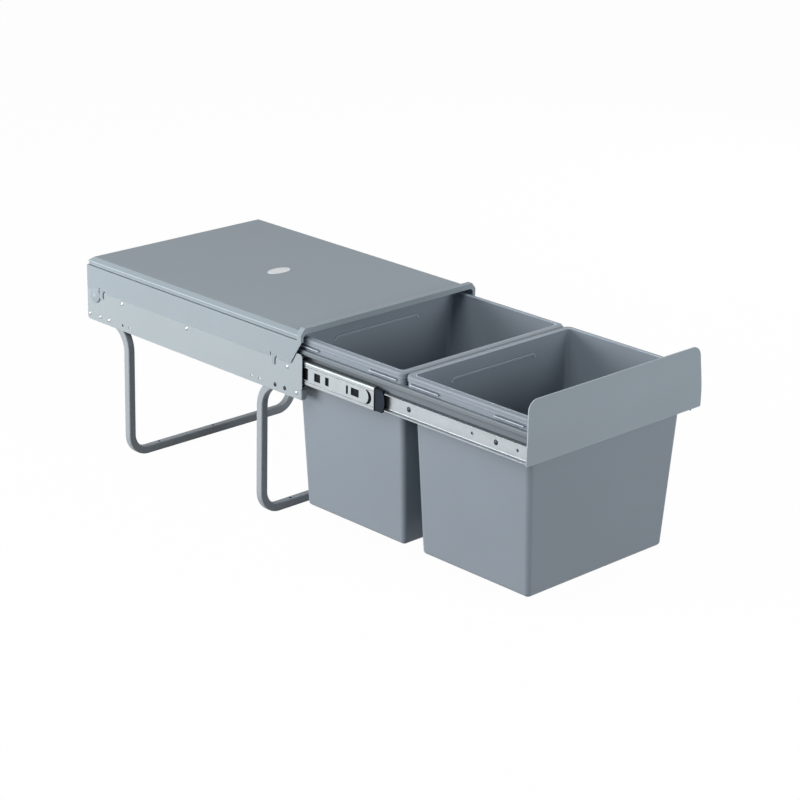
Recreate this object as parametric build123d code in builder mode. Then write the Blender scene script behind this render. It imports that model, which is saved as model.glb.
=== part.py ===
from build123d import *
import os

# Pull out bin frame for a kitchen base unit. Millimetres, +Z up, drawer opens towards -Y.
# The origin lies on the floor, in the middle between the four outer floor screws.

# Overall sizes
overall_width = 342
plate_bottom = 200.4
plate_headroom = 4.15
sheet = 1.2
slide_gap = 0.3
push_gap = 0.05
overrun = 5

# Telescopic slides
slide_length = 450
slide_thickness = 12.7
slide_setback = 4
slide_rear_room = 26
outer_rail_height = 45.7
middle_rail_height = 34.5
inner_rail_height = 24.3
rail_bend = 1.9
outer_ball = 5
inner_ball = 4.4
race_depth = 0.3
inner_race_depth = 0.25
cage_sheet = 0.8
cage_bend = 1.1
balls_per_row = 3

# The open drawer, measured from the front edges of the side plates
rail_overlap = 36
rail_closed_setback = 3
middle_closed_setback = 18.5
middle_travel_share = 0.3754
middle_shortfall = 20
panel_stand_off = 5
carrier_overhang = 7
carrier_rise = 32
carrier_drop = 13

# Bins
rim_seat_height = 16.5
bin_gap = 1.5
bin_rear_gap = 2.7
bin_floor_height = 29.5
bin_wall = 2
rim_rest = 5.9
bin_side_gap = 1.1
rim_end_ledge = 8.5
side_draft = 19
end_draft = 7.5

# Legs of square tube
tube_lift = 2.6
tube_side = 12
tube_corner = 2
tube_wall = 1.2
tube_rail_gap = 1.15
leg_spacing = 300
floor_bend = 30
run_bend = 42
leg_end_setback = 3.5
floor_hole_spacing = 214
floor_hole = 5.5

# Lid
lid_headroom = 9.5
lid_wall = 1.5
lid_thickness = 2.5
bevel_height = 6
groove_drop = 6
skirt_overlap = 16
pivot_setback = 20
pivot_drop = 8.4
pivot_pin = 6

# Front panel
panel_overhang = 1
panel_drop = 10.2
panel_height = 86.7
panel_sheet = 1.5
panel_corner = 16
panel_foot_height = 21.2
panel_lean = 3
panel_taper = 4
panel_foot_corner = 2

# Places that several pieces share
plate_length = slide_setback + slide_length + slide_rear_room
plate_front = -plate_length / 2
plate_rear = plate_length / 2
leg_run_height = plate_bottom + tube_lift + tube_side / 2
rail_bottom = leg_run_height + tube_side / 2 + tube_rail_gap
slide_middle_height = rail_bottom + outer_rail_height / 2
plate_top = rail_bottom + outer_rail_height + plate_headroom
plate_outside = overall_width / 2 - lid_wall - slide_gap
plate_inside = plate_outside - sheet
carrier_outside = plate_inside - slide_thickness
carrier_inside = carrier_outside - sheet
carrier_rear = rail_overlap + carrier_overhang
carrier_top = slide_middle_height + carrier_rise
carrier_bottom = slide_middle_height - carrier_drop
middle_rail_length = slide_length - middle_shortfall
inner_rail_front = slide_length - rail_overlap
drawer_travel = inner_rail_front + rail_closed_setback
middle_front = drawer_travel * middle_travel_share - middle_closed_setback
panel_front = drawer_travel + panel_stand_off
panel_back = plate_front - panel_front + panel_sheet
panel_width = overall_width + 2 * panel_overhang
panel_bottom = slide_middle_height - panel_drop
panel_top = panel_bottom + panel_height
panel_bend_height = panel_bottom + panel_foot_height
bins_front = panel_back + panel_lean + slide_gap
bins_rear = plate_front + carrier_rear - bin_rear_gap
bin_rim_length = (bins_rear - bins_front - bin_gap) / 2
bin_rim_width = 2 * (carrier_inside + rim_rest)
bin_rim_top = carrier_top + rim_seat_height
bin_shoulder_width = 2 * (carrier_inside - bin_side_gap)
bin_shoulder_length = bin_rim_length - 2 * rim_end_ledge
bin_foot_width = bin_shoulder_width - 2 * side_draft
bin_foot_length = bin_shoulder_length - 2 * end_draft
lid_top = bin_rim_top + lid_headroom
groove_height = lid_top - bevel_height
ridge_height = groove_height - groove_drop
skirt_bottom = plate_top - skirt_overlap
pivot_height = skirt_bottom - pivot_drop


def section_at(y):
    """Upright plane across the object at the depth y, facing the front."""
    return Plane.XZ.offset(-y)


def other_side(source):
    """The same piece on the other side of the object."""
    with BuildPart() as twin:
        mirror(source.part, about=Plane.YZ)
    return twin


def save(builder, name):
    """Names a piece and writes it."""
    builder.part.label = name
    export_step(builder.part, "parts/" + name + ".step")


def save_pair(builder, name):
    """Writes a piece of the right side and its twin on the left."""
    save(builder, name + "_right")
    save(other_side(builder), name + "_left")


# Shares of their own sizes
dome_share = 0.75
nose_edge_share = 0.75

# Rivets of the frame: setbacks from the plate ends and their sizes
leg_rivet = 4
leg_rivet_head = 6.4
leg_rivet_rise = 1.5
leg_rivet_bore = 2.2
rear_rivet_setbacks = (5.4, 30.4, 51.5)
front_rivet_setbacks = (10.8, 35.2, 55.1)
spare_hole = 4
front_spare_setbacks = (88.1, 105)
rear_spare_setbacks = (84, 100)
rail_rivet = 4.4
rail_rivet_head = 7
rail_rivet_rise = 1.4
rail_rivet_lift = 3
rail_rivet_setbacks = (29.6, 247.2, 397.5)

rivet_height = leg_run_height - push_gap
front_leg_rivets = [plate_front + setback for setback in front_rivet_setbacks]
rear_leg_rivets = [plate_rear - setback for setback in rear_rivet_setbacks]
spare_holes = [plate_front + setback for setback in front_spare_setbacks]
spare_holes += [plate_rear - setback for setback in rear_spare_setbacks]
rail_rivets = [plate_front + setback for setback in rail_rivet_setbacks]
rail_rivet_height = slide_middle_height + rail_rivet_lift


# Side plates, folded from sheet
tab_width = 7.3
tab_height = 14
tab_relief = 1
plate_corner = 5
plate_fold = 2.4


def make_side_plate():
    corner_y = plate_front + plate_fold
    tab_top = plate_bottom + tab_height
    with BuildPart() as plate:
        with BuildSketch(Plane.YZ.offset(plate_inside)) as outline:
            with BuildLine():
                Polyline(
                    (corner_y, plate_bottom),
                    (plate_rear, plate_bottom),
                    (plate_rear, plate_top),
                    (plate_front, plate_top),
                    (plate_front, tab_top + tab_relief),
                    (corner_y, tab_top + tab_relief),
                    close=True,
                )
            make_face()
            rear_corners = outline.vertices().group_by(Axis.X)[-1]
            fillet(rear_corners, radius=plate_corner)
            fillet(outline.vertices().sort_by(Axis.Y)[-1], radius=plate_corner)
        extrude(amount=sheet)
        with BuildSketch(Plane.XY.offset(plate_bottom)):
            with BuildLine():
                middle_x = plate_inside + sheet / 2
                FilletPolyline(
                    (middle_x, corner_y),
                    (middle_x, plate_front + sheet / 2),
                    (plate_inside - tab_width, plate_front + sheet / 2),
                    radius=plate_fold - sheet,
                )
            trace(line_width=sheet)
        extrude(amount=tab_height)
        with BuildSketch(Plane.YZ.offset(plate_inside)):
            with Locations(*[(y, rivet_height) for y in front_leg_rivets + rear_leg_rivets]):
                Circle(leg_rivet / 2 + push_gap)
            with Locations(*[(y, rivet_height) for y in spare_holes]):
                Circle(spare_hole / 2)
            with Locations(*[(y, rail_rivet_height) for y in rail_rivets]):
                Circle(rail_rivet / 2 + push_gap)
            with Locations((plate_rear - pivot_setback, pivot_height)):
                Circle(pivot_pin / 2 + push_gap)
        extrude(amount=sheet, mode=Mode.SUBTRACT)
    return plate


# Legs: one bent tube each, with its upper runs riveted inside the side plates
def make_leg(side, rivet_places):
    """side is -1 for the front leg and 1 for the rear one: its upper runs point that way."""
    tube_x = plate_inside - tube_side / 2
    leg_y = side * leg_spacing / 2
    end_y = side * (plate_length / 2 - leg_end_setback)
    floor_z = tube_side / 2
    with BuildPart() as leg:
        with BuildLine() as route:
            FilletPolyline(
                (tube_x, end_y, leg_run_height),
                (tube_x, leg_y, leg_run_height),
                (tube_x, leg_y, floor_z),
                (-tube_x, leg_y, floor_z),
                (-tube_x, leg_y, leg_run_height),
                (-tube_x, end_y, leg_run_height),
                radius=[run_bend, floor_bend, floor_bend, run_bend],
            )
        start = Plane((tube_x, end_y, leg_run_height), x_dir=(0, 0, 1), z_dir=(0, -side, 0))
        with BuildSketch(start):
            RectangleRounded(tube_side, tube_side, tube_corner)
            bore = tube_side - 2 * tube_wall
            RectangleRounded(bore, bore, tube_corner - tube_wall, mode=Mode.SUBTRACT)
        sweep(path=route.wires()[0])
        with BuildSketch(Plane.YZ.offset(-plate_outside)):
            with Locations(*[(y, rivet_height) for y in rivet_places]):
                Circle(leg_rivet / 2 + push_gap)
        extrude(amount=overall_width, mode=Mode.SUBTRACT)
        with BuildSketch(Plane.XY):
            with Locations((0, leg_y)):
                with GridLocations(floor_hole_spacing / 2, 0, 3, 1):
                    Circle(floor_hole / 2)
        extrude(amount=tube_side, mode=Mode.SUBTRACT)
    return leg


def make_rivet(shank, head, rise, length, tail_rise, bore):
    """A domed rivet along +Z, with its head seat at zero and its tail past -length."""
    with BuildPart() as rivet:
        with BuildSketch(Plane.XZ):
            with BuildLine():
                crown = ThreePointArc((0, rise), (head / 4, rise * dome_share), (head / 2, 0))
                Polyline(crown @ 1, (shank / 2, 0), (shank / 2, -length), (0, -length), crown @ 0)
            make_face()
            if tail_rise:
                with BuildLine():
                    tail = (shank / 2 + tail_rise, -length)
                    Polyline((0, -length), tail, (0, -length - tail_rise), close=True)
                make_face()
            if bore:
                with Locations((0, rise)):
                    Rectangle(bore, 4 * rise, mode=Mode.SUBTRACT)
        revolve(axis=Axis.Z)
    return rivet


outwards = (0, 90, 0)
inwards = (0, -90, 0)


def place_on_sides(piece, seat_x, places, turn=outwards):
    """Copies of a piece that points up, turned outwards or inwards, seated at seat_x."""
    with BuildPart() as group:
        with Locations(*[Location((seat_x, y, z), turn) for y, z in places]):
            add(piece.part)
        mirror(about=Plane.YZ)
    return group


def make_leg_rivets():
    sizes = (leg_rivet, leg_rivet_head, leg_rivet_rise, sheet + tube_side, tube_wall)
    domed = make_rivet(*sizes, 0)
    hollow = make_rivet(*sizes, leg_rivet_bore)
    domed_places = [(y, rivet_height) for y in front_leg_rivets[:1] + rear_leg_rivets]
    hollow_places = [(y, rivet_height) for y in front_leg_rivets[1:]]
    with BuildPart() as rivets:
        add(place_on_sides(domed, plate_outside, domed_places).part)
        add(place_on_sides(hollow, plate_outside, hollow_places).part)
    return rivets


def make_rail_rivets():
    rivet = make_rivet(rail_rivet, rail_rivet_head, rail_rivet_rise, 2 * sheet, 0, 0)
    return place_on_sides(rivet, plate_outside, [(y, rail_rivet_height) for y in rail_rivets])


# Pivots of the lid, riveted in the side plates
pin_head = 10
pin_head_rise = 1.6
pin_end_gap = 0.2


def make_lid_pins():
    with BuildPart() as pin:
        with BuildSketch(Plane.XZ):
            with BuildLine():
                Polyline(
                    (0, -pin_head_rise),
                    (pin_head / 2, -pin_head_rise),
                    (pin_head / 2, 0),
                    (pivot_pin / 2, 0),
                    (pivot_pin / 2, sheet + slide_gap + lid_wall - pin_end_gap),
                    (0, sheet + slide_gap + lid_wall - pin_end_gap),
                    close=True,
                )
            make_face()
        revolve(axis=Axis.Z)
    place = (plate_rear - pivot_setback, pivot_height)
    return place_on_sides(pin, plate_inside, [place])


# Slide rails: three nested channels on each side, with balls rolling in races between them.
# Depths are measured inwards from the inner face of the side plate.
ball_line_depth = 6.6
outer_lip_depth = 10.1
middle_lip_depth = 9.75
inner_edge_depth = 5.3
middle_web_depth = 3.2
outer_cage_depth = 1.9
inner_cage_depth = 4.5
outer_ball_height = outer_rail_height / 2 - sheet - outer_ball / 2 + race_depth
outer_lip_gap = 0.75
middle_lip_gap = 0.45
inner_ball_height = middle_rail_height / 2 - sheet - inner_ball / 2 + inner_race_depth
outer_lip_end = middle_rail_height / 2 + outer_lip_gap
middle_lip_end = inner_rail_height / 2 + middle_lip_gap


def add_channel(web_depth, edge_depth, half_height, lip_end, bend, gauge, front, length):
    """Adds a channel rail; lip_end is how far out its lips end, or none for plain edges."""
    web_x = plate_inside - web_depth
    edge_x = plate_inside - edge_depth
    upper = [(edge_x, half_height), (web_x, half_height)]
    if lip_end:
        upper = [(edge_x, lip_end)] + upper
    lower = [(x, -z) for x, z in reversed(upper)]
    points = [(x, slide_middle_height + z) for x, z in upper + lower]
    with BuildSketch(section_at(plate_front + front + length)) as section:
        with BuildLine():
            FilletPolyline(*points, radius=bend)
        trace(line_width=gauge)
    extrude(section.sketch, amount=length)


def cut_races(ball, ball_height, front, length):
    """Rounds a rail's flanges out along the lines that the balls follow."""
    with BuildSketch(section_at(plate_front + front + length)) as races:
        with Locations((plate_inside - ball_line_depth, slide_middle_height)):
            with GridLocations(0, 2 * ball_height, 1, 2):
                Circle(ball / 2 + push_gap)
    extrude(races.sketch, amount=length, mode=Mode.SUBTRACT)


def cut_web(shapes, front):
    """Opens a web: each shape is its place behind the rail's front, length and height."""
    with BuildSketch(Plane.YZ.offset(carrier_outside - overrun)) as openings:
        for place, width, height in shapes:
            with Locations((plate_front - front + place, slide_middle_height)):
                if height:
                    Rectangle(width, height)
                else:
                    Circle(width / 2)
    extrude(openings.sketch, amount=slide_thickness + overrun, mode=Mode.SUBTRACT)


def make_outer_rail():
    half_height = (outer_rail_height - sheet) / 2
    sizes = (sheet / 2, outer_lip_depth, half_height, outer_lip_end, rail_bend, sheet)
    with BuildPart() as rail:
        add_channel(*sizes, slide_setback, slide_length)
        cut_races(outer_ball, outer_ball_height, slide_setback, slide_length)
        with BuildSketch(Plane.YZ.offset(plate_inside - sheet)):
            with Locations(*[(y, rail_rivet_height) for y in rail_rivets]):
                Circle(rail_rivet / 2 + push_gap)
        extrude(amount=sheet, mode=Mode.SUBTRACT)
    return rail


# Openings punched in the middle rail: place behind its front end, length and height
middle_openings = [(36.7, 15.4, 11), (52, 4, 12), (91.8, 7.2, 12), (111.4, 12, 12), (136, 12, 17)]
crescent_setback = 4.5
crescent_radius = 10
crescent_width = 7
crescent_flatness = 1.2
web_line_height = 11
web_line_width = 1
web_line_depth = 0.4


def make_middle_rail():
    half_height = (middle_rail_height - sheet) / 2
    sizes = (middle_web_depth, middle_lip_depth, half_height, middle_lip_end, rail_bend, sheet)
    with BuildPart() as rail:
        add_channel(*sizes, -middle_front, middle_rail_length)
        cut_races(outer_ball, outer_ball_height, -middle_front, middle_rail_length)
        cut_races(inner_ball, inner_ball_height, -middle_front, middle_rail_length)
        cut_web(middle_openings, middle_front)
        with BuildSketch(section_at(plate_front - middle_front + middle_rail_length)) as lines:
            with Locations((plate_inside - middle_web_depth + sheet / 2, slide_middle_height)):
                with GridLocations(0, 2 * web_line_height, 1, 2):
                    Rectangle(2 * web_line_depth, web_line_width)
        extrude(lines.sketch, amount=middle_rail_length, mode=Mode.SUBTRACT)
        web_x = plate_inside - middle_web_depth - sheet
        crescent_y = plate_front - middle_front + crescent_setback + crescent_radius
        with BuildSketch(Plane.YZ.offset(web_x)):
            with Locations((crescent_y, slide_middle_height)):
                Circle(crescent_radius)
            with Locations((crescent_y + crescent_width, slide_middle_height)):
                Circle(crescent_radius + crescent_flatness, mode=Mode.SUBTRACT)
        extrude(amount=2 * sheet, mode=Mode.SUBTRACT)
    return rail


# Inner rails, screwed to the carriers; holes and screws as places behind their front ends
inner_hole = 4.4
inner_hole_places = (22, 102)
inner_screw_places = (60, 218, 388)
inner_screw = 4
inner_screw_head = 7.6
inner_screw_rise = 1.6
screw_rows = [plate_front - inner_rail_front + place for place in inner_screw_places]


def make_inner_rail():
    half_height = (inner_rail_height - sheet) / 2
    web_depth = slide_thickness - sheet / 2
    sizes = (web_depth, inner_edge_depth, half_height, None, rail_bend, sheet)
    holes = [(place, inner_hole, None) for place in inner_hole_places]
    holes += [(place, inner_screw + 2 * push_gap, None) for place in inner_screw_places]
    with BuildPart() as rail:
        add_channel(*sizes, -inner_rail_front, slide_length)
        cut_races(inner_ball, inner_ball_height, -inner_rail_front, slide_length)
        cut_web(holes, inner_rail_front)
    return rail


def make_inner_rail_screws():
    screw = make_rivet(inner_screw, inner_screw_head, inner_screw_rise, 2 * sheet, 0, 0)
    places = [(y, slide_middle_height) for y in screw_rows]
    return place_on_sides(screw, carrier_outside + sheet, places)


# Ball retainers: a strip with the balls held in its folded edges
outer_cage_front = -40
inner_cage_end = 60
cage_length = 220
cage_edge_depth = 9
nose_length = 19
nose_height = 31
nose_thickness = 4.4


def make_cage(web_depth, ball_height, front, length, ball):
    gauge = cage_sheet
    sizes = (web_depth, cage_edge_depth, ball_height, None, cage_bend, gauge)
    with BuildPart() as cage:
        add_channel(*sizes, -front, length)
        with BuildSketch(Plane.XY.offset(slide_middle_height)):
            with Locations(*ball_places(front, length)):
                Circle(ball / 2 + push_gap)
        extrude(amount=outer_rail_height / 2, both=True, mode=Mode.SUBTRACT)
    return cage


def ball_places(front, length):
    """Evenly spaced places along a retainer, half a step in from its ends."""
    step = length / balls_per_row
    first = plate_front - front + step / 2
    return [(plate_inside - ball_line_depth, first + step * i) for i in range(balls_per_row)]


def make_balls(front, length, ball, ball_height):
    with BuildPart() as balls:
        rows = [slide_middle_height - ball_height, slide_middle_height + ball_height]
        places = [(x, y, z) for x, y in ball_places(front, length) for z in rows]
        with Locations(*places):
            Sphere(ball / 2)
    return balls


def make_retainer_end():
    """The moulded end of the inner retainer, open towards the bins for the inner rail."""
    web_x = plate_inside - inner_cage_depth + cage_sheet / 2
    rear_y = plate_front - middle_front
    length = nose_length
    with BuildPart() as nose:
        with BuildSketch(Plane.YZ.offset(web_x - nose_thickness)):
            with BuildLine():
                half = nose_height / 2
                top = Line((rear_y, slide_middle_height - half), (rear_y, slide_middle_height + half))
                edge_y = rear_y - length * nose_edge_share
                upper = Line(top @ 1, (edge_y, slide_middle_height + half))
                bow = ThreePointArc(
                    upper @ 1,
                    (rear_y - length, slide_middle_height),
                    (edge_y, slide_middle_height - half),
                )
                Line(bow @ 1, top @ 0)
            make_face()
        extrude(amount=nose_thickness)
        with BuildSketch(section_at(rear_y + overrun)):
            with Locations((web_x - cage_sheet, slide_middle_height)):
                Rectangle(
                    nose_thickness,
                    inner_rail_height + 2 * slide_gap,
                    align=(Align.MAX, Align.CENTER),
                )
        extrude(amount=length + 2 * overrun, mode=Mode.SUBTRACT)
    return nose


# Carriers: rolled profiles that hold the bins by their rims
carrier_bead_height = 8
carrier_bead_depth = 8.2
carrier_bend = 1.6
carrier_setback_share = 0.25


def make_carrier():
    web_x = carrier_inside + sheet / 2
    bead_x = carrier_outside + carrier_bead_depth - sheet / 2
    top_z = carrier_top - sheet / 2
    low_z = carrier_top - carrier_bead_height + sheet / 2
    length = panel_front - panel_sheet + carrier_rear - panel_lean * carrier_setback_share
    with BuildPart() as carrier:
        with BuildSketch(section_at(plate_front + carrier_rear)):
            with BuildLine():
                FilletPolyline(
                    (web_x, top_z),
                    (bead_x, top_z),
                    (bead_x, low_z),
                    (web_x, low_z),
                    (web_x, carrier_bottom),
                    radius=carrier_bend,
                )
            trace(line_width=sheet)
        extrude(amount=length)
        with BuildSketch(Plane.YZ.offset(carrier_inside)):
            with Locations(*[(y, slide_middle_height) for y in screw_rows]):
                Circle(inner_screw / 2 + push_gap)
            with Locations(*bar_rivet_places()):
                Circle(bar_rivet / 2 + push_gap)
        extrude(amount=sheet, mode=Mode.SUBTRACT)
    return carrier


# Cross bars between the carriers, with tabs riveted to them
bar_top = panel_bend_height
bar_height = 20
bar_flange = 7
bar_tab = 15
bar_tab_height = 12
bar_rivet = 3.2
bar_rivet_head = 5.6
bar_rivet_rise = 1
bar_rivet_setback = 10
stud = 5
stud_spacing = 80
stud_reach = 5.5
nut_width = 8
nut_height = 3.6
nut_chamfer = 0.6


def bar_rivet_places():
    """Rivets through the tabs of both bars, as depths and heights."""
    rivet_z = bar_top - bar_height / 2
    front_y = panel_back + bar_rivet_setback
    rear_y = plate_front + carrier_rear - bar_rivet_setback
    return [(front_y, rivet_z), (rear_y, rivet_z)]


def make_cross_bar(web_y, side):
    """side is 1 where the flange and tabs point back, and -1 where they point forwards."""
    width = 2 * carrier_inside
    with BuildPart() as bar:
        with BuildSketch(Plane.YZ.offset(-carrier_inside)):
            with BuildLine():
                FilletPolyline(
                    (web_y + side * sheet / 2, bar_top - bar_height),
                    (web_y + side * sheet / 2, bar_top - sheet / 2),
                    (web_y + side * bar_flange, bar_top - sheet / 2),
                    radius=carrier_bend,
                )
            trace(line_width=sheet)
        extrude(amount=width)
        tab_z = bar_top - (bar_height + bar_tab_height) / 2
        with BuildSketch(Plane.XY.offset(tab_z)):
            with BuildLine():
                FilletPolyline(
                    (carrier_inside - bar_tab, web_y + side * sheet / 2),
                    (carrier_inside - sheet / 2, web_y + side * sheet / 2),
                    (carrier_inside - sheet / 2, web_y + side * bar_tab),
                    radius=carrier_bend,
                )
            trace(line_width=sheet)
        tabs = extrude(amount=bar_tab_height)
        mirror(tabs, about=Plane.YZ)
        rivet_y, rivet_z = bar_rivet_places()[0 if side > 0 else 1]
        with BuildSketch(Plane.YZ.offset(-carrier_inside)):
            with Locations((rivet_y, rivet_z)):
                Circle(bar_rivet / 2 + push_gap)
        extrude(amount=width, mode=Mode.SUBTRACT)
        if side > 0:
            with BuildSketch(section_at(web_y + sheet)):
                with Locations(*stud_places()):
                    Circle(stud / 2 + push_gap)
            extrude(amount=sheet, mode=Mode.SUBTRACT)
    return bar


def make_bar_rivets():
    rivet = make_rivet(bar_rivet, bar_rivet_head, bar_rivet_rise, 2 * sheet, 0, 0)
    return place_on_sides(rivet, carrier_inside - sheet, bar_rivet_places(), inwards)


def stud_places():
    """The panel's studs, as places across and up."""
    xs = [stud_spacing * (i - 3 / 2) for i in range(4)]
    return [(x, bar_top - bar_height / 2) for x in xs]


def make_panel_studs():
    with BuildPart() as studs:
        with BuildSketch(section_at(panel_back + sheet + stud_reach)):
            with Locations(*stud_places()):
                Circle(stud / 2)
        extrude(amount=sheet + stud_reach)
    return studs


def make_panel_nuts():
    with BuildPart() as nuts:
        with BuildSketch(section_at(panel_back + sheet + nut_height)):
            with Locations(*stud_places()):
                RegularPolygon(nut_width / 2, 6, major_radius=False)
                Circle(stud / 2, mode=Mode.SUBTRACT)
        extrude(amount=nut_height)
        chamfer(nuts.edges().group_by(Axis.Y)[-1].filter_by(GeomType.LINE), length=nut_chamfer)
    return nuts


# Front panel: a sheet whose upper part leans back in a shallow double curve
def make_front_panel():
    front_y = plate_front - panel_front
    middle_y = front_y + panel_sheet / 2
    half_way = (panel_bend_height + panel_top) / 2
    with BuildPart() as panel:
        with BuildSketch(Plane.YZ):
            with BuildLine():
                foot = Line((middle_y, panel_bottom), (middle_y, panel_bend_height))
                lean = TangentArc(foot @ 1, (middle_y + panel_lean / 2, half_way), tangent=foot % 1)
                TangentArc(lean @ 1, (middle_y + panel_lean, panel_top), tangent=lean % 1)
            trace(line_width=panel_sheet)
        extrude(amount=panel_width / 2, both=True)
        with BuildSketch(section_at(panel_back + panel_lean + overrun)) as outline:
            with BuildLine():
                half = panel_width / 2
                Polyline(
                    (-half, panel_bottom),
                    (half, panel_bottom),
                    (half, panel_bend_height),
                    (half - panel_taper, panel_top),
                    (panel_taper - half, panel_top),
                    (-half, panel_bend_height),
                    close=True,
                )
            make_face()
            fillet(outline.vertices().group_by(Axis.Y)[-1], radius=panel_corner)
            fillet(outline.vertices().group_by(Axis.Y)[0], radius=panel_foot_corner)
        depth = panel_lean + panel_sheet + 2 * overrun
        extrude(amount=depth, mode=Mode.INTERSECT)
    return panel


# Bins
bin_foot_corner = 7
bin_shoulder_corner = 8
bin_floor_fillet = 6
rim_corner = 11
rim_thickness = 2
rim_round = 3
rim_groove_width = 1.2
rim_groove_depth = 0.8
rim_skirt_drop = 8
rim_skirt_wall = 1.5
seat_inset = 1.3
rim_lip_drop = 12.5
rim_lip_thickness = 1.5
rim_lip_reach = 1.8
rim_lip_cut = 100
rim_hole = 3
rim_notch = 3
rim_hole_inset = 8
rim_hole_end_inset = 13
emboss_end_gap = 78
emboss_drop = 21.5
emboss_curl = 5
emboss_rise = 1.1
emboss_line = 2.4


def bin_prism(bottom, top, width, length, corner):
    """A slab with rounded corners, from bottom to top, in a bin's own place."""
    with BuildSketch(Plane.XY.offset(bottom)) as slab:
        RectangleRounded(width, length, corner)
    extrude(slab.sketch, amount=top - bottom)


def bin_body(inset, foot_z, top_z):
    """The tapered body, drawn in by inset."""
    with BuildPart() as body:
        with BuildSketch(Plane.XY.offset(foot_z)):
            foot = (bin_foot_width - 2 * inset, bin_foot_length - 2 * inset)
            RectangleRounded(*foot, bin_foot_corner - inset)
        with BuildSketch(Plane.XY.offset(top_z)):
            shoulder = (bin_shoulder_width - 2 * inset, bin_shoulder_length - 2 * inset)
            RectangleRounded(*shoulder, bin_shoulder_corner - inset)
        loft()
        fillet(body.edges().group_by(Axis.Z)[0], radius=bin_floor_fillet - inset)
    return body


def make_bin(middle_y, hole_side):
    """hole_side is 1 for the bin behind and -1 for the one in front."""
    skirt_top = bin_rim_top - rim_thickness
    skirt_bottom_z = bin_rim_top - rim_skirt_drop
    skirt_inset = 2 * rim_skirt_wall
    seat_width = bin_rim_width - 2 * seat_inset
    seat_length = bin_rim_length - 2 * seat_inset
    with BuildPart() as bin_part:
        bin_prism(skirt_bottom_z, bin_rim_top, bin_rim_width, bin_rim_length, rim_corner)
        fillet(bin_part.faces().sort_by(Axis.Z)[-1].edges(), radius=rim_round)
        with BuildSketch(Plane.XY.offset(carrier_top)):
            RectangleRounded(seat_width, seat_length, rim_corner - seat_inset)
        extrude(amount=skirt_bottom_z - carrier_top + rim_skirt_wall)
        with BuildSketch(Plane.XY.offset(bin_rim_top - rim_lip_drop)):
            lip_width = bin_rim_width + 2 * rim_lip_reach
            Rectangle(lip_width, seat_length - 2 * rim_corner)
            Rectangle(lip_width, rim_lip_cut, mode=Mode.SUBTRACT)
        extrude(amount=rim_lip_thickness)
        with BuildSketch(Plane.XY.offset(carrier_top)):
            hollow_corner = rim_corner - seat_inset - rim_skirt_wall
            RectangleRounded(
                seat_width - skirt_inset, seat_length - skirt_inset, hollow_corner
            )
        extrude(amount=skirt_top - carrier_top, mode=Mode.SUBTRACT)
        add(bin_body(0, bin_floor_height, skirt_top).part)
        cavity = bin_body(bin_wall, bin_floor_height + bin_wall, skirt_top)
        add(cavity.part, mode=Mode.SUBTRACT)
        mouth = (bin_shoulder_width - 2 * bin_wall, bin_shoulder_length - 2 * bin_wall)
        with BuildSketch(Plane.XY.offset(skirt_top)):
            RectangleRounded(*mouth, bin_shoulder_corner - bin_wall)
            hole_x = bin_rim_width / 2 - rim_hole_inset
            hole_y = bin_rim_length / 2 - rim_hole_end_inset
            with Locations((hole_side * hole_x, -hole_side * hole_y)):
                Circle(rim_hole / 2)
            with Locations((0, -hole_side * bin_rim_length / 2)):
                Circle(rim_notch)
        extrude(amount=rim_thickness, mode=Mode.SUBTRACT)
        with BuildSketch(Plane.XY.offset(bin_rim_top - rim_groove_depth)):
            groove = (bin_shoulder_width + 2 * rim_groove_width, bin_shoulder_length + 2 * rim_groove_width)
            RectangleRounded(*groove, bin_shoulder_corner + rim_groove_width)
            ledge = (bin_shoulder_width, bin_shoulder_length, bin_shoulder_corner)
            RectangleRounded(*ledge, mode=Mode.SUBTRACT)
        extrude(amount=rim_groove_depth, mode=Mode.SUBTRACT)
        line_z = bin_rim_top - emboss_drop
        wall_y = bin_shoulder_length / 2 - bin_wall
        half = bin_rim_width / 2 - emboss_end_gap
        with BuildSketch(section_at(wall_y + bin_wall / 2)) as line:
            with BuildLine():
                FilletPolyline(
                    (-half, line_z - emboss_curl),
                    (-half + emboss_curl, line_z),
                    (half - emboss_curl, line_z),
                    (half, line_z - emboss_curl),
                    radius=emboss_curl,
                )
            trace(line_width=emboss_line)
        drop_share = (skirt_top - line_z) / (skirt_top - bin_floor_height)
        wall_lean = (bin_shoulder_length - bin_foot_length) / 2 * drop_share
        extrude(amount=bin_wall / 2 + wall_lean + emboss_rise)
    with BuildPart() as placed:
        add(bin_part.part.moved(Location((0, middle_y, 0))))
    return placed


# Lid: one moulding that lies over the side plates and turns on their pivots
lid_setback = 1.2
bevel_run = 7.5
eave_inset = 1.5
groove_inset = 3
groove_wall = 1.7
bevel_inside_rise = 4.1
lid_corner = 3
rear_wall_gap = 2
lip_rise = 6
lip_depth = 8
lip_drop = 1
lip_shoulder_drop = 9
lip_shoulder_run = 7.5
lip_corner = 6
lip_edge = 1
slant_drop = 2.5
slant_run = 20.5
lug = 23
lug_dome = 1.2
clip_width = 7
clip_drop = 11
clip_slot_width = 2
clip_slot_height = 5.5
clip_notch_width = 5.5
clip_notch_height = 2.4
rear_clip_setback = 35.5
front_clip_setback = 58.5
badge_setback = 240
badge_across = 40
badge_deep = 23
badge_shift = 1
badge_thickness = 0.8
badge_edge = 0.4


def lid_block(inset, bottom, top, taper):
    """A slab of the lid, drawn in by inset at its sides and rear, and long at its front."""
    reach = plate_length + 2 * bevel_run + overrun
    width = overall_width - 2 * inset
    with BuildSketch(Plane.XY.offset(bottom)) as slab:
        with Locations((0, plate_rear - inset)):
            Rectangle(width, reach, align=(Align.CENTER, Align.MAX))
    return extrude(slab.sketch, amount=top - bottom, taper=taper, mode=Mode.PRIVATE)


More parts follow.
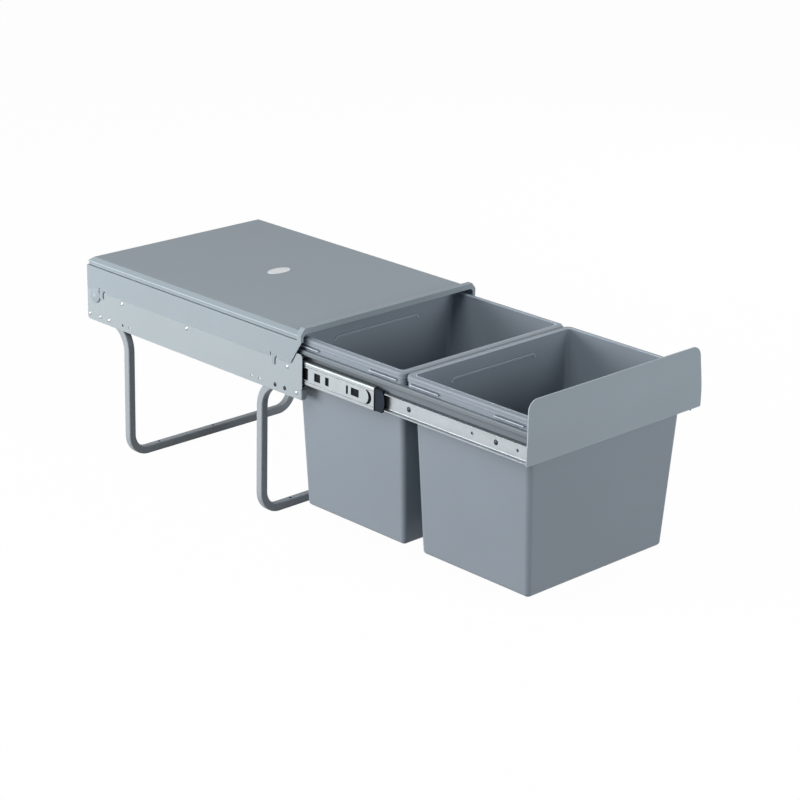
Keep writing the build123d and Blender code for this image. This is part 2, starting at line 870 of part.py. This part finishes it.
def make_lid():
    lean = Vector(bevel_height, bevel_run).get_angle(Vector(bevel_height, 0))
    inner_inset = groove_inset + groove_wall
    inner_top = lid_top - lid_thickness
    inner_foot = inner_top - bevel_inside_rise
    front_y = plate_front + lid_setback
    skirt_x = overall_width / 2 - lid_wall
    lip_bottom = ridge_height - lip_drop
    slant_top = ridge_height - slant_drop
    pivot_y = plate_rear - pivot_setback
    with BuildPart() as lid:
        add(lid_block(0, skirt_bottom, ridge_height, 0))
        fillet(lid.edges().filter_by(Axis.Z).group_by(Axis.Y)[-1], radius=lid_corner)
        fillet(lid.faces().sort_by(Axis.Z)[-1].edges(), radius=lip_edge)
        add(lid_block(groove_inset, ridge_height - lid_wall, groove_height, 0))
        add(lid_block(eave_inset, groove_height, lid_top, lean))
        wide = lid_block(lid_wall, skirt_bottom, ridge_height - lid_wall, 0)
        add(wide, mode=Mode.SUBTRACT)
        add(lid_block(inner_inset, skirt_bottom, inner_foot, 0), mode=Mode.SUBTRACT)
        add(lid_block(inner_inset, inner_foot, inner_top, lean), mode=Mode.SUBTRACT)
        split(bisect_by=section_at(front_y), keep=Keep.BOTTOM)
        with BuildSketch(section_at(plate_rear + overrun)):
            with Locations((0, skirt_bottom)):
                height = plate_top + rear_wall_gap - skirt_bottom
                Rectangle(2 * skirt_x, height, align=(Align.CENTER, Align.MIN))
        extrude(amount=2 * overrun + lid_wall, mode=Mode.SUBTRACT)
        with BuildSketch(Plane.YZ.offset(-overall_width / 2)):
            with BuildLine():
                Polyline(
                    (front_y - overrun, slant_top),
                    (front_y, slant_top),
                    (front_y + slant_run, skirt_bottom),
                    (front_y - overrun, skirt_bottom),
                    close=True,
                )
            make_face()
        extrude(amount=overall_width, mode=Mode.SUBTRACT)
        with BuildSketch(section_at(front_y + lip_depth)) as lip:
            half = overall_width / 2
            top = lid_top + lip_rise
            with BuildLine():
                Polyline(
                    (half, lip_bottom),
                    (half, top - lip_shoulder_drop),
                    (half - lip_shoulder_run, top),
                    (lip_shoulder_run - half, top),
                    (-half, top - lip_shoulder_drop),
                    (-half, lip_bottom),
                    close=True,
                )
            make_face()
            upper = lip.vertices().filter_by(lambda v: v.Z > lip_bottom + lip_edge)
            fillet(upper, radius=lip_corner)
            with BuildLine():
                inner = half - inner_inset
                Polyline(
                    (inner, lip_bottom),
                    (inner, inner_foot),
                    (inner - bevel_inside_rise * bevel_run / bevel_height, inner_top),
                    (bevel_inside_rise * bevel_run / bevel_height - inner, inner_top),
                    (-inner, inner_foot),
                    (-inner, lip_bottom),
                    close=True,
                )
            make_face(mode=Mode.SUBTRACT)
        extrude(amount=lip_depth)
        with BuildSketch(Plane.YZ.offset(skirt_x)):
            with Locations((pivot_y, pivot_height)):
                Circle(lug / 2)
            for y in clip_places():
                with Locations((y, skirt_bottom)):
                    Rectangle(clip_width, 2 * clip_drop)
        extrude(amount=lid_wall)
        with BuildSketch(Plane.XZ.offset(-pivot_y)):
            with BuildLine():
                edge = overall_width / 2
                Line((edge, pivot_height), (edge, pivot_height + lug / 2))
                ThreePointArc(
                    (edge, pivot_height + lug / 2),
                    (edge + lug_dome * dome_share, pivot_height + lug / 4),
                    (edge + lug_dome, pivot_height),
                )
                Line((edge + lug_dome, pivot_height), (edge, pivot_height))
            make_face()
        revolve(axis=Axis((0, pivot_y, pivot_height), (1, 0, 0)))
        with BuildSketch(Plane.YZ.offset(skirt_x)):
            with Locations((pivot_y, pivot_height)):
                Circle(pivot_pin / 2 + push_gap)
            for y in clip_places():
                slot_y = y + (clip_width + clip_slot_width) / 2
                with Locations((slot_y, skirt_bottom)):
                    Rectangle(clip_slot_width, clip_slot_height, align=(Align.CENTER, Align.MIN))
                notch_y = y - (clip_width + clip_notch_width) / 2 - clip_slot_width
                with Locations((notch_y, skirt_bottom + clip_notch_height / 2)):
                    SlotOverall(clip_notch_width, clip_notch_height)
        extrude(amount=lid_wall, mode=Mode.SUBTRACT)
    with BuildPart() as whole:
        right = split(lid.part, bisect_by=Plane.YZ, keep=Keep.TOP)
        mirror(right, about=Plane.YZ)
    return whole


def clip_places():
    """Snap tongues of the skirt, near the pivots and near the front."""
    return [plate_rear - rear_clip_setback, plate_front + front_clip_setback]


def make_badge():
    """A bare oval plate on the lid."""
    with BuildPart() as badge:
        with BuildSketch(Plane.XY.offset(lid_top)):
            with Locations((badge_shift, plate_front + badge_setback)):
                Ellipse(badge_across / 2, badge_deep / 2)
        extrude(amount=badge_thickness)
        fillet(badge.faces().sort_by(Axis.Z)[-1].edges(), radius=badge_edge)
    return badge


# Everything together
os.makedirs("parts", exist_ok=True)

save_pair(make_side_plate(), "side_plate")
save(make_leg(-1, front_leg_rivets), "front_leg")
save(make_leg(1, rear_leg_rivets), "rear_leg")
save(make_leg_rivets(), "leg_rivets")
save_pair(make_outer_rail(), "outer_rail")
save(make_rail_rivets(), "rail_rivets")
save(make_lid_pins(), "lid_pins")

save(make_lid(), "lid_cover")
save(make_badge(), "lid_badge")

save_pair(make_middle_rail(), "middle_rail")
outer_cage = (outer_cage_front, cage_length, outer_ball)
save_pair(make_cage(outer_cage_depth, outer_ball_height, *outer_cage), "outer_cage")
save_pair(make_balls(*outer_cage, outer_ball_height), "outer_balls")
inner_cage = (middle_front, inner_cage_end + middle_front, inner_ball)
save_pair(make_cage(inner_cage_depth, inner_ball_height, *inner_cage), "inner_cage")
save_pair(make_balls(*inner_cage, inner_ball_height), "inner_balls")
save_pair(make_retainer_end(), "retainer_end")

save_pair(make_inner_rail(), "inner_rail")
save(make_inner_rail_screws(), "inner_rail_screws")
save_pair(make_carrier(), "carrier_rail")
save(make_cross_bar(panel_back, 1), "carrier_front_bar")
save(make_cross_bar(plate_front + carrier_rear, -1), "carrier_rear_bar")
save(make_bar_rivets(), "bar_rivets")
save(make_front_panel(), "front_panel")
save(make_panel_studs(), "panel_studs")
save(make_panel_nuts(), "panel_nuts")
front_bin_y = bins_front + bin_rim_length / 2
save(make_bin(front_bin_y, -1), "front_bin")
save(make_bin(front_bin_y + bin_rim_length + bin_gap, 1), "rear_bin")
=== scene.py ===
import bpy
import numpy as np
from mathutils import Matrix, Vector

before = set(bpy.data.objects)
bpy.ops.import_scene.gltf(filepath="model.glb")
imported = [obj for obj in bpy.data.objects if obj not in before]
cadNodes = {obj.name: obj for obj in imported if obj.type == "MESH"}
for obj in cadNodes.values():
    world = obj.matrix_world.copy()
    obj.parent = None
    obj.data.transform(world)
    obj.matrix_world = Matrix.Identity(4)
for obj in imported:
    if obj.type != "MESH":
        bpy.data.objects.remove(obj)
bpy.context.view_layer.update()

print("frame loaded with", len(cadNodes), "nodes")


# small helpers for node trees

def addNode(tree, kind, **settings):
    # one node; settings named after sockets go into them, the others are properties
    node = tree.nodes.new(kind)
    for name, value in settings.items():
        if name in node.inputs:
            node.inputs[name].default_value = value
        else:
            setattr(node, name, value)
    return node


def addRange(tree, fromLow=0.0, fromHigh=1.0, toLow=0.0, toHigh=1.0, curve="LINEAR"):
    # carries fromLow to toLow and fromHigh to toHigh, in a straight line or a soft curve, and stops there
    spread = addNode(tree, "ShaderNodeMapRange", interpolation_type=curve)
    ends = {"From Min": fromLow, "From Max": fromHigh, "To Min": toLow, "To Max": toHigh}
    for socketName, value in ends.items():
        spread.inputs[socketName].default_value = value
    return spread


def newGroup(name, inputs, outputs):
    # an empty shader group with named inputs and outputs
    group = bpy.data.node_groups.new(name, "ShaderNodeTree")
    for direction, sockets in (("INPUT", inputs), ("OUTPUT", outputs)):
        for socketName, kind in sockets.items():
            group.interface.new_socket(socketName, in_out=direction, socket_type="NodeSocket" + kind)
    return group, group.nodes.new("NodeGroupInput"), group.nodes.new("NodeGroupOutput")


def placeGroup(tree, group, **values):
    # a shared effect placed in a material with its own values
    node = tree.nodes.new("ShaderNodeGroup")
    node.node_tree = group
    for name, value in values.items():
        node.inputs[name].default_value = value
    return node


# shared effects

coatGrainLook = {
    "fine": {"Detail": 3.0, "Roughness": 0.6},
    "slow": {"Scale": 9.0, "Detail": 2.0, "Roughness": 0.5},
}


def makeCoatGrain():
    # grain = noise(place x grain scale), drift = noise(place x slow scale), both on Object coordinates
    group, given, result = newGroup(
        "coatGrain", {"Grain Scale": "Float"}, {"Grain": "Float", "Drift": "Float"},
    )
    place = addNode(group, "ShaderNodeTexCoord")
    fine = addNode(group, "ShaderNodeTexNoise", **coatGrainLook["fine"])
    slow = addNode(group, "ShaderNodeTexNoise", **coatGrainLook["slow"])
    group.links.new(place.outputs["Object"], fine.inputs["Vector"])
    group.links.new(place.outputs["Object"], slow.inputs["Vector"])
    group.links.new(given.outputs["Grain Scale"], fine.inputs["Scale"])
    group.links.new(fine.outputs["Fac"], result.inputs["Grain"])
    group.links.new(slow.outputs["Fac"], result.inputs["Drift"])
    return group


rollLinesLook = {
    "lines": {"Scale": 1.0, "Detail": 4.0, "Roughness": 0.65},
    "cloud": {"Scale": 60.0, "Detail": 3.0, "Roughness": 0.6},
}


def makeRollLines():
    # lines = noise(place x stretch, axis by axis), cloud = noise(place x cloud scale)
    group, given, result = newGroup("rollLines", {"Stretch": "Vector"}, {"Lines": "Float", "Cloud": "Float"})
    place = addNode(group, "ShaderNodeTexCoord")
    squeeze = addNode(group, "ShaderNodeVectorMath", operation="MULTIPLY")
    lines = addNode(group, "ShaderNodeTexNoise", **rollLinesLook["lines"])
    cloud = addNode(group, "ShaderNodeTexNoise", **rollLinesLook["cloud"])
    group.links.new(place.outputs["Object"], squeeze.inputs[0])
    group.links.new(given.outputs["Stretch"], squeeze.inputs[1])
    group.links.new(squeeze.outputs["Vector"], lines.inputs["Vector"])
    group.links.new(place.outputs["Object"], cloud.inputs["Vector"])
    group.links.new(lines.outputs["Fac"], result.inputs["Lines"])
    group.links.new(cloud.outputs["Fac"], result.inputs["Cloud"])
    return group


edgeTouchLook = {
    "samples": 6,
    "flatMatch": 0.995,      # rounded normal x true normal where the surface starts to count as an edge
    "edgeMatch": 0.80,       # the same product on a full edge
}


def makeEdgeTouch():
    # round normal = the normal of an edge rounded by the radius; edge rises as its dot product
    # with the true normal falls from the flat match to the edge match
    look = edgeTouchLook
    group, given, result = newGroup(
        "edgeTouch", {"Radius": "Float"}, {"Edge": "Float", "Round Normal": "Vector"},
    )
    rounded = addNode(group, "ShaderNodeBevel", samples=look["samples"])
    truth = addNode(group, "ShaderNodeNewGeometry")
    match = addNode(group, "ShaderNodeVectorMath", operation="DOT_PRODUCT")
    spread = addRange(group, fromLow=look["flatMatch"], fromHigh=look["edgeMatch"])
    group.links.new(given.outputs["Radius"], rounded.inputs["Radius"])
    group.links.new(rounded.outputs["Normal"], match.inputs[0])
    group.links.new(truth.outputs["Normal"], match.inputs[1])
    group.links.new(match.outputs["Value"], spread.inputs["Value"])
    group.links.new(spread.outputs["Result"], result.inputs["Edge"])
    group.links.new(rounded.outputs["Normal"], result.inputs["Round Normal"])
    return group


openSamples = 8      # rays for each look at how open a spot is


def makeRecess():
    # depth rises from 0 to 1 as the openness within the reach falls from open to closed; the finishes paint
    # shade where it is high
    group, given, result = newGroup(
        "recess", {"Reach": "Float", "Open": "Float", "Closed": "Float"}, {"Depth": "Float"},
    )
    openness = addNode(group, "ShaderNodeAmbientOcclusion", samples=openSamples)
    spread = addRange(group, curve="SMOOTHSTEP")
    group.links.new(given.outputs["Reach"], openness.inputs["Distance"])
    group.links.new(given.outputs["Open"], spread.inputs["From Min"])
    group.links.new(given.outputs["Closed"], spread.inputs["From Max"])
    group.links.new(openness.outputs["AO"], spread.inputs["Value"])
    group.links.new(spread.outputs["Result"], result.inputs["Depth"])
    return group


ridgeLook = {
    "flat": 0.92,       # openness on the inner side of a plain wall
    "thin": 0.45,       # the same inside a bead, lip or edge
}


def makeRidge():
    # height rises from 0 to 1 as the openness on the surface's inner side falls from flat to thin; the coats
    # paint a highlight where it is high
    group, given, result = newGroup("ridge", {"Reach": "Float"}, {"Height": "Float"})
    backing = addNode(group, "ShaderNodeAmbientOcclusion", samples=openSamples, inside=True)
    spread = addRange(group, fromLow=ridgeLook["flat"], fromHigh=ridgeLook["thin"], curve="SMOOTHSTEP")
    group.links.new(given.outputs["Reach"], backing.inputs["Distance"])
    group.links.new(backing.outputs["AO"], spread.inputs["Value"])
    group.links.new(spread.outputs["Result"], result.inputs["Height"])
    return group


coatGrain = makeCoatGrain()
rollLines = makeRollLines()
edgeTouch = makeEdgeTouch()
recess = makeRecess()
ridge = makeRidge()
print("shared effects ready")


# materials

def mixColours(tree, factor, low, high):
    # low x (1 - factor) + high x factor; low and high are colours or sockets
    mix = addNode(tree, "ShaderNodeMix", data_type="RGBA")
    colourSockets = [s for s in mix.inputs if s.type == "RGBA"]
    for socket, value in zip(colourSockets, (low, high)):
        if isinstance(value, bpy.types.NodeSocket):
            tree.links.new(value, socket)
        else:
            socket.default_value = value
    tree.links.new(factor, mix.inputs[0])
    return [s for s in mix.outputs if s.type == "RGBA"][0]


def shade(colour, amount):
    # colour x amount, at most 1 in each part
    return tuple(min(1.0, part * amount) for part in colour) + (1.0,)


def startMaterial(name, settings):
    # a Principled shader with the settings that are the same all over
    material = bpy.data.materials.new(name)
    material.use_nodes = True
    tree = material.node_tree
    shader = tree.nodes["Principled BSDF"]
    for socket, value in settings.items():
        shader.inputs[socket].default_value = value
    return material, tree, shader


shadows = {
    "hollow": {"Open": 0.76, "Closed": 0.08},
    "hollowTone": 0.2,
    "crease": {"Reach": 0.0022, "Open": 0.82, "Closed": 0.5},
    "creaseTone": 0.14,
}


def paintRecessShade(tree, tone, colour, reach):
    # painted shade: towards colour x crease tone in creases, then towards colour x hollow tone in hollows of
    # this reach
    hollow = placeGroup(tree, recess, Reach=reach, **shadows["hollow"])
    crease = placeGroup(tree, recess, **shadows["crease"])
    tone = mixColours(tree, crease.outputs["Depth"], tone, shade(colour, shadows["creaseTone"]))
    return mixColours(tree, hollow.outputs["Depth"], tone, shade(colour, shadows["hollowTone"]))


def finishSurface(tree, shader, tone, gloss, glossFrom, bump, bumpFrom, edges):
    # tone, roughness and a bumped, rounded normal joined to the shader
    tree.links.new(tone, shader.inputs["Base Color"])
    tree.links.new(glossFrom, gloss.inputs["Value"])
    tree.links.new(gloss.outputs["Result"], shader.inputs["Roughness"])
    tree.links.new(bumpFrom, bump.inputs["Height"])
    tree.links.new(edges.outputs["Round Normal"], bump.inputs["Normal"])
    tree.links.new(bump.outputs["Normal"], shader.inputs["Normal"])


coatBase = {
    "darkDrift": 0.95, "lightDrift": 1.05, "glossSpread": 0.05, "bumpStrength": 0.5,
    "hollowReach": 0.009, "beadReach": 0.0014,
}


def makeCoat(name, look):
    # powder coat or moulded plastic: colour x drift, painted shade in recesses, and a painted highlight on
    # beads and edges
    colour, base = look["colour"], coatBase
    material, tree, shader = startMaterial(name, {"Specular IOR Level": look["specular"]})
    grain = placeGroup(tree, coatGrain, **{"Grain Scale": look["grainScale"]})
    edges = placeGroup(tree, edgeTouch, Radius=look["edgeRadius"])
    darkTone, lightTone = shade(colour, base["darkDrift"]), shade(colour, base["lightDrift"])
    tone = mixColours(tree, grain.outputs["Drift"], darkTone, lightTone)
    tone = paintRecessShade(tree, tone, colour, base["hollowReach"])
    # painted highlight: colour brightened on beads, lips and thin edges
    bead = placeGroup(tree, ridge, Reach=base["beadReach"])
    tone = mixColours(tree, bead.outputs["Height"], tone, shade(colour, look["paintedEdgeHighlight"]))
    gloss = addRange(
        tree, toLow=look["roughness"] - base["glossSpread"], toHigh=look["roughness"] + base["glossSpread"],
    )
    bump = addNode(tree, "ShaderNodeBump", Strength=base["bumpStrength"], Distance=look["grainDepth"])
    finishSurface(tree, shader, tone, gloss, grain.outputs["Drift"], bump, grain.outputs["Grain"], edges)
    return material


def paintShadeBand(tree, tone, colour, shadeBand):
    # painted shade: colour x band tone where |y - middle| < reach, on the Object coordinate along Y
    place = addNode(tree, "ShaderNodeTexCoord")
    split = addNode(tree, "ShaderNodeSeparateXYZ")
    offset = addNode(tree, "ShaderNodeMath", operation="SUBTRACT")
    distance = addNode(tree, "ShaderNodeMath", operation="ABSOLUTE")
    inside = addNode(tree, "ShaderNodeMath", operation="LESS_THAN")
    offset.inputs[1].default_value = shadeBand["middle"]
    inside.inputs[1].default_value = shadeBand["reach"]
    tree.links.new(place.outputs["Object"], split.inputs["Vector"])
    tree.links.new(split.outputs["Y"], offset.inputs[0])
    tree.links.new(offset.outputs["Value"], distance.inputs[0])
    tree.links.new(distance.outputs["Value"], inside.inputs[0])
    return mixColours(tree, inside.outputs["Value"], tone, shade(colour, shadeBand["tone"]))


zincBase = {
    "darkCloud": 0.86, "lightCloud": 1.10, "paintedEdgeHighlight": 1.2, "hollowReach": 0.005,
    "smoother": 0.10, "rougher": 0.12, "bumpStrength": 0.35, "bumpDepth": 0.00004,
}


def makeZinc(name, look):
    # plated steel: colour x cloud, a painted highlight on edges, painted shade in recesses, roughness along
    # the rolled lines
    colour, base = look["colour"], zincBase
    material, tree, shader = startMaterial(name, {"Metallic": 1.0})
    roll = placeGroup(tree, rollLines, Stretch=look["stretch"])
    edges = placeGroup(tree, edgeTouch, Radius=look["edgeRadius"])
    darkTone, lightTone = shade(colour, base["darkCloud"]), shade(colour, base["lightCloud"])
    tone = mixColours(tree, roll.outputs["Cloud"], darkTone, lightTone)
    # painted highlight: colour brightened on edges
    tone = mixColours(tree, edges.outputs["Edge"], tone, shade(colour, base["paintedEdgeHighlight"]))
    tone = paintRecessShade(tree, tone, colour, base["hollowReach"])
    # painted shade in a band across Y, where the look gives one
    if "shadeBand" in look:
        tone = paintShadeBand(tree, tone, colour, look["shadeBand"])
    gloss = addRange(
        tree, toLow=look["roughness"] - base["smoother"], toHigh=look["roughness"] + base["rougher"],
    )
    bump = addNode(tree, "ShaderNodeBump", Strength=base["bumpStrength"], Distance=base["bumpDepth"])
    finishSurface(tree, shader, tone, gloss, roll.outputs["Lines"], bump, roll.outputs["Lines"], edges)
    return material


alongRail = (900.0, 6.0, 900.0)      # fine across the strip, drawn out along Y
evenGrain = (300.0, 300.0, 300.0)
coats = {
    "plateCoat": {
        "nodes": ["side_plate_left", "side_plate_right"],
        "colour": (0.338, 0.395, 0.426), "roughness": 0.48, "specular": 0.35,
        "grainScale": 1600.0, "grainDepth": 0.00005, "paintedEdgeHighlight": 1.12, "edgeRadius": 0.0005,
    },
    "legCoat": {
        "nodes": ["front_leg", "rear_leg"],
        "colour": (0.32, 0.362, 0.40), "roughness": 0.5, "specular": 0.35,
        "grainScale": 1600.0, "grainDepth": 0.00005, "paintedEdgeHighlight": 1.12, "edgeRadius": 0.0005,
    },
    "panelCoat": {
        "nodes": ["front_panel"],
        "colour": (0.33, 0.388, 0.438), "roughness": 0.50, "specular": 0.35,
        "grainScale": 1600.0, "grainDepth": 0.00005, "paintedEdgeHighlight": 1.45, "edgeRadius": 0.0006,
    },
    # partly painted shade: the carrier's own grey, made darker still to stand in for the shade around the
    # bins' rims
    "carrierCoat": {
        "nodes": ["carrier_rail_left", "carrier_rail_right", "carrier_front_bar", "carrier_rear_bar"],
        "colour": (0.155, 0.185, 0.212), "roughness": 0.42, "specular": 0.35,
        "grainScale": 1600.0, "grainDepth": 0.00004, "paintedEdgeHighlight": 1.3, "edgeRadius": 0.0006,
    },
    "lidPlastic": {
        "nodes": ["lid_cover"],
        "colour": (0.305, 0.362, 0.405), "roughness": 0.55, "specular": 0.35,
        "grainScale": 1100.0, "grainDepth": 0.00008, "paintedEdgeHighlight": 1.7, "edgeRadius": 0.0012,
    },
    "binPlastic": {
        "nodes": ["front_bin", "rear_bin"],
        "colour": (0.246, 0.292, 0.342), "roughness": 0.38, "specular": 0.35,
        "grainScale": 900.0, "grainDepth": 0.00006, "paintedEdgeHighlight": 2.7, "edgeRadius": 0.0010,
    },
    "badgePlastic": {
        "nodes": ["lid_badge"],
        "colour": (0.78, 0.82, 0.85), "roughness": 0.25, "specular": 0.5,
        "grainScale": 600.0, "grainDepth": 0.00001, "paintedEdgeHighlight": 1.05, "edgeRadius": 0.0004,
    },
    "blackPlastic": {
        "nodes": ["retainer_end_left", "retainer_end_right"],
        "colour": (0.007, 0.011, 0.019), "roughness": 0.6, "specular": 0.15,
        "grainScale": 1200.0, "grainDepth": 0.00004, "paintedEdgeHighlight": 1.6, "edgeRadius": 0.0005,
    },
}
zincs = {
    "zincSteel": {
        "nodes": [
            "outer_rail_left", "outer_rail_right", "middle_rail_left", "middle_rail_right",
            "inner_rail_left", "inner_rail_right", "outer_cage_left", "outer_cage_right",
        ],
        "colour": (0.325, 0.357, 0.378), "roughness": 0.46, "stretch": alongRail, "edgeRadius": 0.0004,
    },
    # painted shade: the inner cages are near black so that the openings in the middle rails look dark
    "shadeBlackSteel": {
        "nodes": ["inner_cage_left", "inner_cage_right"],
        "colour": (0.012, 0.014, 0.017), "roughness": 0.55, "stretch": alongRail, "edgeRadius": 0.0004,
    },
    "brightSteel": {
        "nodes": [
            "rail_rivets", "lid_pins", "bar_rivets", "panel_studs", "panel_nuts",
            "outer_balls_left", "outer_balls_right", "inner_balls_left", "inner_balls_right",
        ],
        "colour": (0.40, 0.43, 0.45), "roughness": 0.34, "stretch": evenGrain, "edgeRadius": 0.0003,
    },
    "rivetSteel": {
        "nodes": ["leg_rivets"],
        "colour": (0.40, 0.43, 0.45), "roughness": 0.34, "stretch": evenGrain, "edgeRadius": 0.0003,
        # painted shade: the leg rivets in this band are darkened so that the hollow ones look dark in their
        # bores
        "shadeBand": {"middle": -0.195, "reach": 0.016, "tone": 0.12},      # the hollow rivets near the front
    },
    "blackZinc": {
        "nodes": ["inner_rail_screws"],
        "colour": (0.05, 0.055, 0.062), "roughness": 0.4, "stretch": evenGrain, "edgeRadius": 0.0003,
    },
}


def dressNodes(material, nodeNames):
    # the material becomes the only one of each node
    for nodeName in nodeNames:
        mesh = cadNodes[nodeName].data
        mesh.materials.clear()
        mesh.materials.append(material)


dressed = 0
for makeFinish, looks in ((makeCoat, coats), (makeZinc, zincs)):
    for materialName, look in looks.items():
        dressNodes(makeFinish(materialName, look), look["nodes"])
        dressed += len(look["nodes"])
print("finishes set on", dressed, "nodes")


# stage: white floor and surroundings, soft lamps, camera

stage = {
    "floorSize": 60.0,
    "floorTone": (0.28, 0.28, 0.28, 1.0),
    "seenTone": (0.95, 0.95, 0.95, 1.0),
    "whiteShare": 0.98,      # how much of the floor the camera sees as plain white
    "skyLight": 0.11,
}


def makeFloor():
    # a square on z = 0 from -half to half; seen directly it is white share x plain white, the rest pale
    # paint that takes a faint shadow, and for all other light it is dull grey
    half = stage["floorSize"] / 2
    corners = [(-half, -half, 0), (half, -half, 0), (half, half, 0), (-half, half, 0)]
    mesh = bpy.data.meshes.new("floor")
    mesh.from_pydata(corners, [], [(0, 1, 2, 3)])
    floor = bpy.data.objects.new("floor", mesh)
    bpy.context.scene.collection.objects.link(floor)
    material = bpy.data.materials.new("floorPaint")
    material.use_nodes = True
    tree = material.node_tree
    tree.nodes.clear()
    out = addNode(tree, "ShaderNodeOutputMaterial")
    paint = addNode(tree, "ShaderNodeBsdfDiffuse")
    white = addNode(tree, "ShaderNodeEmission", Strength=1.0)
    mix = addNode(tree, "ShaderNodeMixShader")
    share = addNode(tree, "ShaderNodeMath", operation="MULTIPLY")
    share.inputs[1].default_value = stage["whiteShare"]
    seen = seenDirectly(tree)
    tree.links.new(mixColours(tree, seen, stage["floorTone"], stage["seenTone"]), paint.inputs["Color"])
    tree.links.new(seen, share.inputs[0])
    tree.links.new(share.outputs["Value"], mix.inputs["Fac"])
    tree.links.new(paint.outputs["BSDF"], mix.inputs[1])
    tree.links.new(white.outputs["Emission"], mix.inputs[2])
    tree.links.new(mix.outputs["Shader"], out.inputs["Surface"])
    mesh.materials.append(material)


def seenDirectly(tree):
    # the larger of camera ray, glossy ray and transmission ray: 1 for any of them, else 0
    path = addNode(tree, "ShaderNodeLightPath")
    first = addNode(tree, "ShaderNodeMath", operation="MAXIMUM")
    second = addNode(tree, "ShaderNodeMath", operation="MAXIMUM")
    tree.links.new(path.outputs["Is Camera Ray"], first.inputs[0])
    tree.links.new(path.outputs["Is Glossy Ray"], first.inputs[1])
    tree.links.new(first.outputs["Value"], second.inputs[0])
    tree.links.new(path.outputs["Is Transmission Ray"], second.inputs[1])
    return second.outputs["Value"]


def makeSky():
    # an even white glow: strength 1 where it is seen directly, and the sky light's strength elsewhere
    world = bpy.data.worlds.new("studio")
    bpy.context.scene.world = world
    world.use_nodes = True
    tree = world.node_tree
    glow = tree.nodes["Background"]
    glow.inputs["Color"].default_value = (1, 1, 1, 1)
    level = addRange(tree, toLow=stage["skyLight"])
    tree.links.new(seenDirectly(tree), level.inputs["Value"])
    tree.links.new(level.outputs["Result"], glow.inputs["Strength"])


plainLight = (1.0, 1.0, 1.0)
lamps = {
    "sideLamp": {
        "place": (-2.75, 1.35, 0.62), "size": (2.0, 1.2), "power": 90.0, "colour": (1.0, 0.97, 0.95),
    },
    "frontLamp": {"place": (0.55, -2.9, 1.05), "size": (1.2, 1.0), "power": 33.0, "colour": plainLight},
    "rightLamp": {"place": (2.3, 0.3, 1.0), "size": (1.0, 1.0), "power": 16.0, "colour": plainLight},
    "upperLamp": {"place": (-1.75, -0.35, 2.1), "size": (1.6, 1.6), "power": 29.0, "colour": plainLight},
}
aimPoint = Vector((0.0, -0.18, 0.18))


def makeLamps():
    # soft rectangles; each turned along aim point - place
    for name, lamp in lamps.items():
        light = bpy.data.lights.new(name, "AREA")
        light.shape = "RECTANGLE"
        light.size, light.size_y = lamp["size"]
        light.energy = lamp["power"]
        light.color = lamp["colour"]
        holder = bpy.data.objects.new(name, light)
        holder.location = lamp["place"]
        holder.rotation_euler = (aimPoint - holder.location).to_track_quat("-Z", "Y").to_euler()
        holder.visible_camera = False
        bpy.context.scene.collection.objects.link(holder)


viewpoint = {
    "place": (-2.24117, -2.52043, 1.32285),
    "turn": 44.77,           # degrees from straight at the front; the camera stands at the left
    "drop": 19.96,           # degrees below the horizon
    "roll": 1.47,
    "lens": 107.35,
    "sensorWidth": 36.0,
    "farEnd": 100.0,
}


def makeCamera():
    # forward = (cos drop sin turn, cos drop cos turn, -sin drop), then right and up turned by the roll
    turn, drop, roll = (np.radians(viewpoint[angle]) for angle in ("turn", "drop", "roll"))
    forward = Vector((np.cos(drop) * np.sin(turn), np.cos(drop) * np.cos(turn), -np.sin(drop)))
    right = forward.cross(Vector((0, 0, 1))).normalized()
    up = right.cross(forward)
    rolledRight = right * np.cos(roll) + up * np.sin(roll)
    rolledUp = up * np.cos(roll) - right * np.sin(roll)
    data = bpy.data.cameras.new("camera")
    data.lens = viewpoint["lens"]
    data.sensor_width = viewpoint["sensorWidth"]
    data.clip_end = viewpoint["farEnd"]
    camera = bpy.data.objects.new("camera", data)
    columns = (rolledRight, rolledUp, -forward, Vector(viewpoint["place"]))
    camera.matrix_world = Matrix([[c[i] for c in columns] for i in range(3)] + [[0, 0, 0, 1]])
    bpy.context.scene.collection.objects.link(camera)
    bpy.context.scene.camera = camera


makeFloor()
makeSky()
makeLamps()
makeCamera()
bpy.context.scene.view_settings.view_transform = "Standard"
print("stage, lamps and camera ready")
